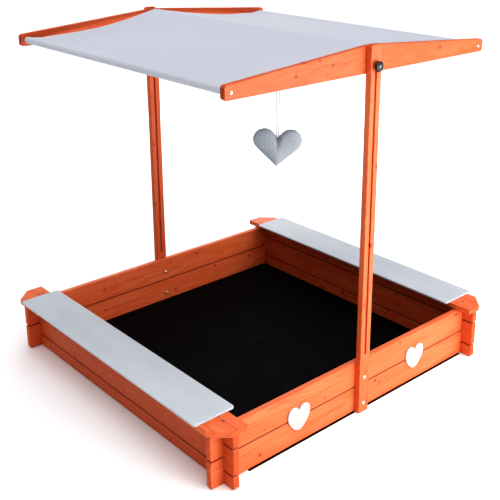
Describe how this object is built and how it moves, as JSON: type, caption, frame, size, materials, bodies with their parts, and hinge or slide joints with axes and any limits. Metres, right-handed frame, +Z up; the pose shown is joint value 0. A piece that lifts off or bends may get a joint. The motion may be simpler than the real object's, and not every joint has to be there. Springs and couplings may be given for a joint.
{
  "type": "sandbox with cover",
  "caption": "Square wooden sandbox with two bench planks, a ground sheet and a gabled canopy roof that slides down its two slotted posts to cover the pit, and tilts.",
  "frame": {"origin": "middle of the footprint, at ground level", "axes": "+Z up; X along the front wall, +X to the right as seen from the front; -Y is the front, the side with the wooden hearts"},
  "size_m": [1.25, 1.168, 1.1735],
  "materials": {
    "orange_wood": "orange-brown stained softwood, satin",
    "grey_wood": "light grey painted softwood, matt",
    "white_wood": "white painted, satin",
    "canopy_cloth": "light grey woven cloth, matt",
    "heart_cloth": "grey cotton, matt",
    "ribbon_cloth": "white ribbon, slight sheen",
    "sheet_cloth": "black ground membrane, matt",
    "zinc": "bright zinc plate",
    "black_plastic": "black moulded plastic, soft gloss"
  },
  "bodies": {
    "base": {"front_board_lower": "orange_wood", "front_board_upper": "orange_wood", "back_board_lower": "orange_wood", "back_board_upper": "orange_wood", "left_board_bottom": "orange_wood", "left_board_middle": "orange_wood", "left_board_top": "orange_wood", "right_board_bottom": "orange_wood", "right_board_middle": "orange_wood", "right_board_top": "orange_wood", "ground_sheet": "sheet_cloth", "front_left_corner_board": "orange_wood", "front_left_corner_screw": "zinc", "front_right_corner_board": "orange_wood", "front_right_corner_screw": "zinc", "back_left_corner_board": "orange_wood", "back_left_corner_screw": "zinc", "back_right_corner_board": "orange_wood", "back_right_corner_screw": "zinc", "left_bench": "grey_wood", "left_bench_batten": "orange_wood", "front_left_bench_screw": "zinc", "back_left_bench_screw": "zinc", "left_wooden_heart": "white_wood", "right_bench": "grey_wood", "right_bench_batten": "orange_wood", "front_right_bench_screw": "zinc", "back_right_bench_screw": "zinc", "right_wooden_heart": "white_wood", "front_post": "orange_wood", "front_post_bolt_lower": "zinc", "front_post_nut_lower": "zinc", "front_post_bolt_upper": "zinc", "front_post_nut_upper": "zinc", "back_post": "orange_wood", "back_post_bolt_lower": "zinc", "back_post_nut_lower": "zinc", "back_post_bolt_upper": "zinc", "back_post_nut_upper": "zinc"},
    "roof_carriage": {"front_clamp_bolt": "zinc", "front_clamp_washer": "zinc", "back_clamp_bolt": "zinc", "back_clamp_washer": "zinc"},
    "roof": {"front_roof_board": "orange_wood", "back_roof_board": "orange_wood", "left_rail": "orange_wood", "front_left_rail_screw": "zinc", "back_left_rail_screw": "zinc", "ridge_rail": "orange_wood", "front_ridge_rail_screw": "zinc", "back_ridge_rail_screw": "zinc", "right_rail": "orange_wood", "front_right_rail_screw": "zinc", "back_right_rail_screw": "zinc", "canopy": "canopy_cloth"},
    "front_knob": {"front_knob": "black_plastic"},
    "back_knob": {"back_knob": "black_plastic"},
    "heart_ribbon": {"ribbon": "ribbon_cloth"},
    "heart": {"stuffed_heart": "heart_cloth"}
  },
  "joints": [
    {"name": "roof_slide", "type": "slide", "parent": "base", "child": "roof_carriage", "axis": [0, 0, -1], "range_m": [0, 0.888]},
    {"name": "roof_tilt", "type": "hinge", "parent": "roof_carriage", "child": "roof", "pos_m": [0, 0, 1.113], "axis": [0, 1, 0], "range_deg": [-35, 0]},
    {"name": "front_knob_turn", "type": "hinge", "parent": "roof_carriage", "child": "front_knob", "pos_m": [0, -0.566, 1.113], "axis": [0, -1, 0], "continuous": true},
    {"name": "back_knob_turn", "type": "hinge", "parent": "roof_carriage", "child": "back_knob", "pos_m": [0, 0.566, 1.113], "axis": [0, 1, 0], "continuous": true},
    {"name": "heart_swing", "type": "hinge", "parent": "roof", "child": "heart_ribbon", "pos_m": [0, -0.15, 1.1575], "axis": [0, 1, 0], "range_deg": [-35, 35]},
    {"name": "heart_lift", "type": "slide", "parent": "heart_ribbon", "child": "heart", "axis": [0, 0, 1], "range_m": [0, 0.222], "deforming": ["ribbon"]}
  ],
  "couplings": [
    {"joint": "heart_lift", "follows": "roof_slide", "ratio": 0.25}
  ]
}
